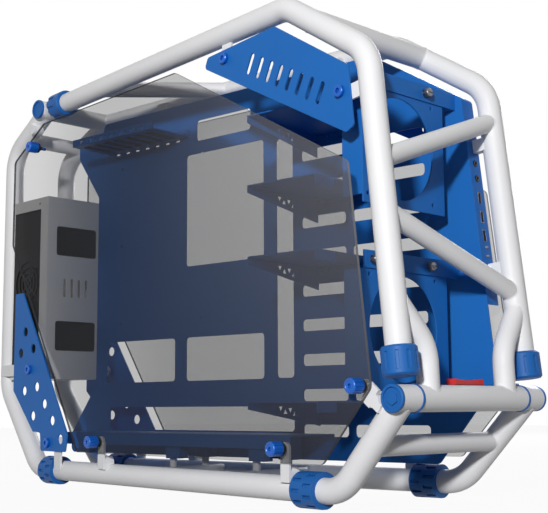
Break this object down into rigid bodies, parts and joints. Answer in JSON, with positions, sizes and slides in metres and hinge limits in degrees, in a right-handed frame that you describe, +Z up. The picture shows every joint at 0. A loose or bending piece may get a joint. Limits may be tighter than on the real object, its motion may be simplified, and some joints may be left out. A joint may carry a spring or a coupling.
{
  "type": "open tubular computer case frame",
  "caption": "Open computer case of bent white tube loops on blue ring feet, with a blue board tray, drive shelves, fan brackets, a grey supply bracket and smoked side panes.",
  "frame": {"origin": "on the floor, under the middle of the bounding box", "axes": "+X to the front bumper, -Y to the left side that the board faces, +Z up"},
  "size_m": [0.7944, 0.2702, 0.5339],
  "materials": {
    "white_paint": "satin powder coat",
    "blue_paint": "satin powder coat",
    "blue_moulding": "matt moulded",
    "blue_anodised": "anodised",
    "smoked_glass": "smoked, clear",
    "grey_paint": "satin",
    "black_paint": "matt",
    "dark_rubber": "matt",
    "bright_steel": "plated",
    "black_plastic": "matt",
    "red_plastic": "gloss"
  },
  "bodies": {
    "frame": {"audio_jacks": "black_plastic", "board_tray": "blue_paint", "bumper_bands": "blue_moulding", "bumper_caps": "blue_moulding", "drive_shelf_1": "blue_paint", "drive_shelf_2": "blue_paint", "drive_shelf_3": "blue_paint", "drive_shelf_4": "blue_paint", "expansion_bracket": "blue_paint", "fan_bars": "blue_paint", "fan_bracket_screws": "bright_steel", "floor_channel": "blue_paint", "floor_cross_tube_front": "white_paint", "floor_cross_tube_rear": "white_paint", "floor_feet": "blue_moulding", "front_bumper_tube": "white_paint", "left_bottom_tube": "white_paint", "left_bumper_strut": "white_paint", "left_front_foot": "blue_moulding", "left_gusset": "blue_paint", "left_pane": "smoked_glass", "left_rear_foot": "blue_moulding", "left_rear_tube": "white_paint", "left_top_plate": "blue_paint", "left_upper_tube": "white_paint", "lower_fan_bracket": "blue_paint", "lower_front_brace": "white_paint", "lower_front_cross_tube": "white_paint", "micro_switch": "black_plastic", "pane_screws": "blue_anodised", "pane_tabs": "white_paint", "plate_bolts": "blue_anodised", "plate_lugs": "white_paint", "port_board": "black_plastic", "psu_bracket": "grey_paint", "psu_pads": "dark_rubber", "psu_side_grille": "black_paint", "rear_collars": "blue_moulding", "rear_cross_bar": "white_paint", "rear_cross_caps": "blue_moulding", "rear_top_cross_tube": "white_paint", "right_bottom_tube": "white_paint", "right_bumper_strut": "white_paint", "right_front_foot": "blue_moulding", "right_gusset": "blue_paint", "right_pane": "smoked_glass", "right_rear_foot": "blue_moulding", "right_rear_tube": "white_paint", "right_top_plate": "blue_paint", "right_upper_tube": "white_paint", "slot_covers": "black_paint", "switch_housing": "black_plastic", "top_brace": "white_paint", "top_front_cross_tube": "white_paint", "tray_lugs": "white_paint", "upper_fan_bracket": "blue_paint", "upper_front_brace": "white_paint", "upright_caps": "blue_moulding", "usb_ports": "bright_steel"},
    "power_button": {"power_button": "red_plastic"}
  },
  "joints": [
    {"name": "power_button_press", "type": "slide", "parent": "frame", "child": "power_button", "axis": [0, 0, -1], "range_m": [0, 0.003], "stiffness_N_per_m": 600, "springref_m": -0.002}
  ]
}
